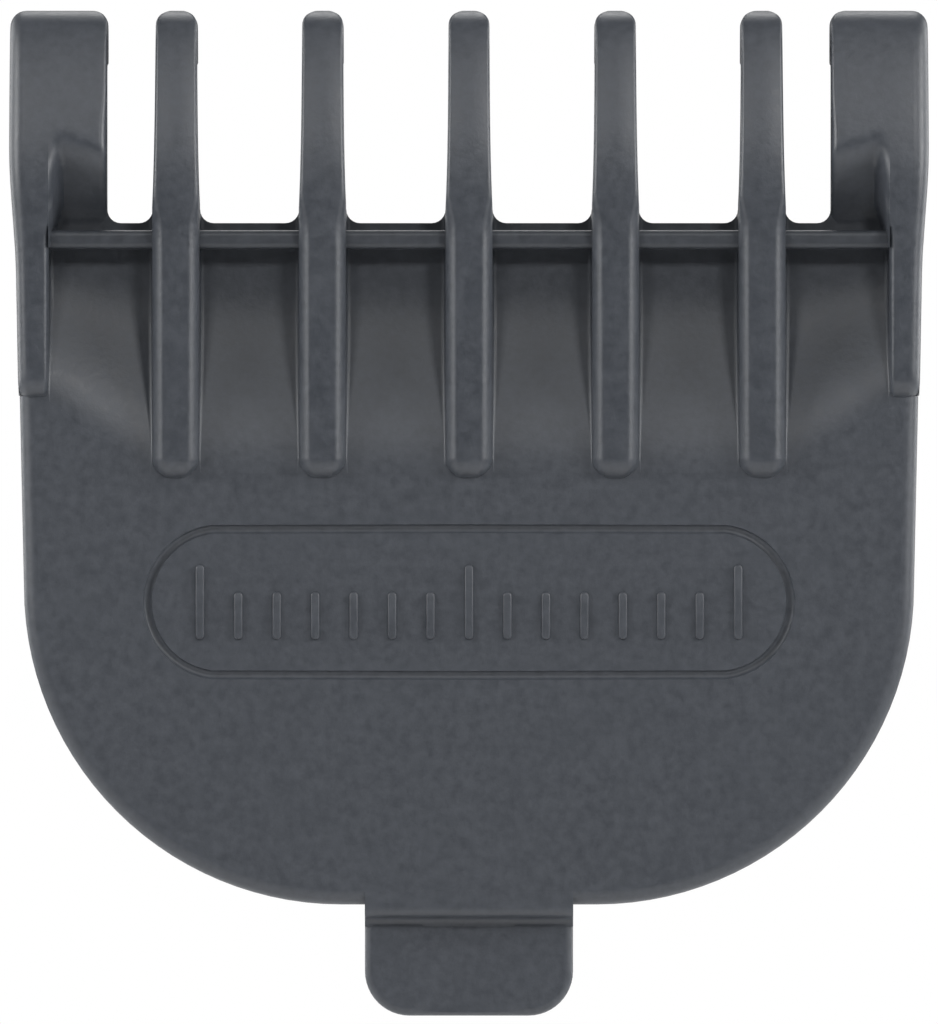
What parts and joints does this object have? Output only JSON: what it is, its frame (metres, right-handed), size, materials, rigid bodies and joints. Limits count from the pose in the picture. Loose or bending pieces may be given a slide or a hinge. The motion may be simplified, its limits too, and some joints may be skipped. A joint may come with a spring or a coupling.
{
  "type": "trimmer guide comb",
  "caption": "Clip-on guide comb for a beard trimmer blade: a D-shaped cover plate with ribbed, hooked teeth, side walls and a flexing latch tab.",
  "frame": {"origin": "middle of the flat seat that the trimmer's blade lies on, behind the roots of the teeth", "axes": "+X across the teeth to the right as seen from the skin side, +Y from the skin side to the blade side, +Z the way the teeth point"},
  "size_m": [0.037, 0.0067, 0.0406],
  "materials": {
    "moulded_plastic": "matte slate-grey moulded plastic with a fine spark-eroded texture"
  },
  "bodies": {
    "comb": {"face_plate": "moulded_plastic", "bridge_bar": "moulded_plastic", "tooth_1": "moulded_plastic", "tooth_2": "moulded_plastic", "tooth_3": "moulded_plastic", "tooth_4": "moulded_plastic", "tooth_5": "moulded_plastic", "corner_tooth_right": "moulded_plastic", "corner_tooth_left": "moulded_plastic", "side_wall_right": "moulded_plastic", "side_wall_left": "moulded_plastic", "skirt_right": "moulded_plastic", "skirt_left": "moulded_plastic"},
    "latch": {"thumb_tab": "moulded_plastic", "latch_wall": "moulded_plastic", "latch_hook": "moulded_plastic"}
  },
  "joints": [
    {"name": "latch_flex", "type": "hinge", "parent": "comb", "child": "latch", "pos_m": [0, -0.0017, -0.02455], "axis": [-1, 0, 0], "range_deg": [0, 10], "stiffness_Nm_per_rad": 0.3}
  ]
}
